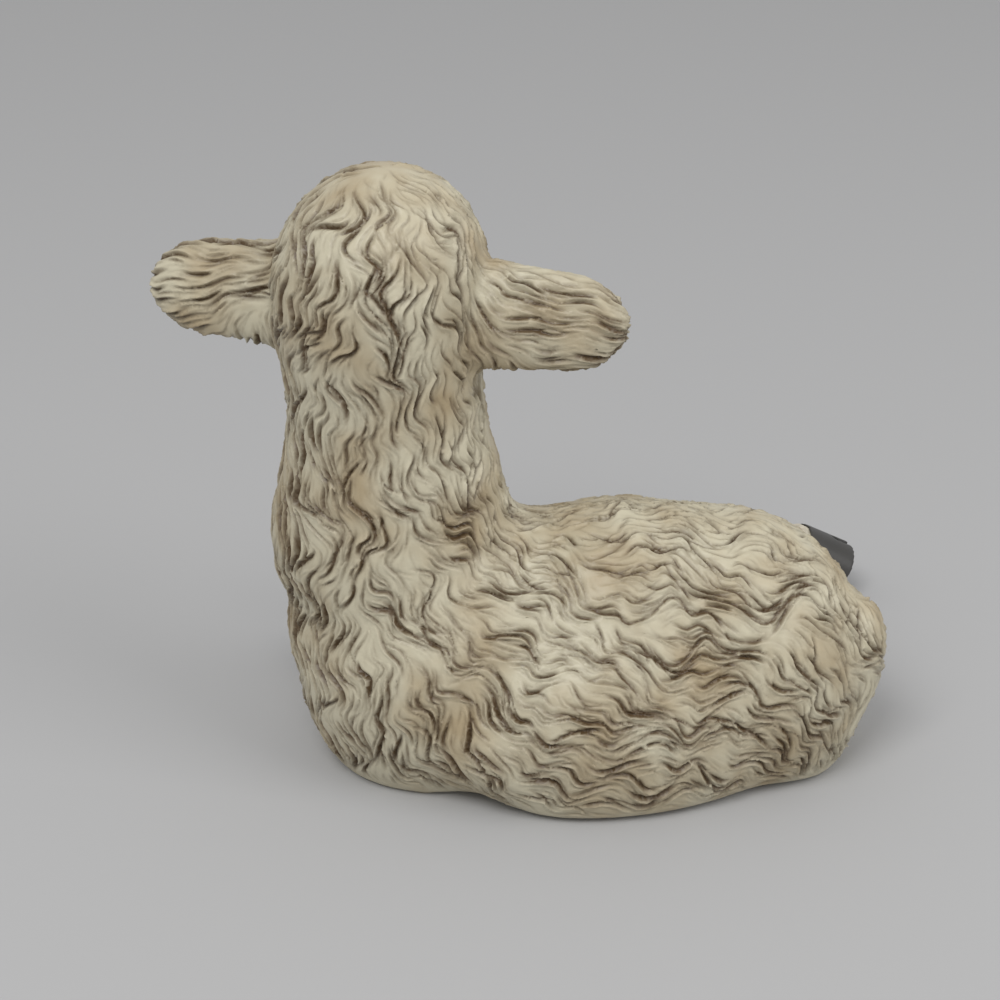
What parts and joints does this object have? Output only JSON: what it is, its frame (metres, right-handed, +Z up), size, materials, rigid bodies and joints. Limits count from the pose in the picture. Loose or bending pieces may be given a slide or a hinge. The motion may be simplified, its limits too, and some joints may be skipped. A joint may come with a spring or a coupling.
{
  "type": "sheep figurine",
  "caption": "Cast resin lamb lying on folded legs with its head turned to one side, carved all over in wavy wool, a free-standing shelf ornament.",
  "frame": {"origin": "on the flat base that rests on the table, under the middle of the trunk", "axes": "+X from chest to rump, +Y to the side that the face looks to (the animal's right), +Z up"},
  "size_m": [0.0689, 0.0507, 0.0562],
  "materials": {
    "fleece": "cast resin, warm off-white paint with a brown wash left in the carved grooves, satin",
    "bare_skin": "cast resin, warm off-white paint, thinly washed in brown, satin",
    "hooves": "cast resin, dark grey paint, satin",
    "eyes": "near-black paint under clear gloss"
  },
  "bodies": {
    "root": {"body": "fleece", "left_haunch": "fleece", "right_haunch": "fleece", "neck": "fleece", "head": "fleece", "left_ear": "fleece", "right_ear": "fleece", "tail": "fleece", "face": "bare_skin", "left_eye": "eyes", "right_eye": "eyes", "left_foreleg": "bare_skin", "right_foreleg": "bare_skin", "left_hind_leg": "bare_skin", "right_hind_leg": "bare_skin", "left_fore_hoof": "hooves", "right_fore_hoof": "hooves", "left_hind_hoof": "hooves", "right_hind_hoof": "hooves"}
  },
  "joints": []
}
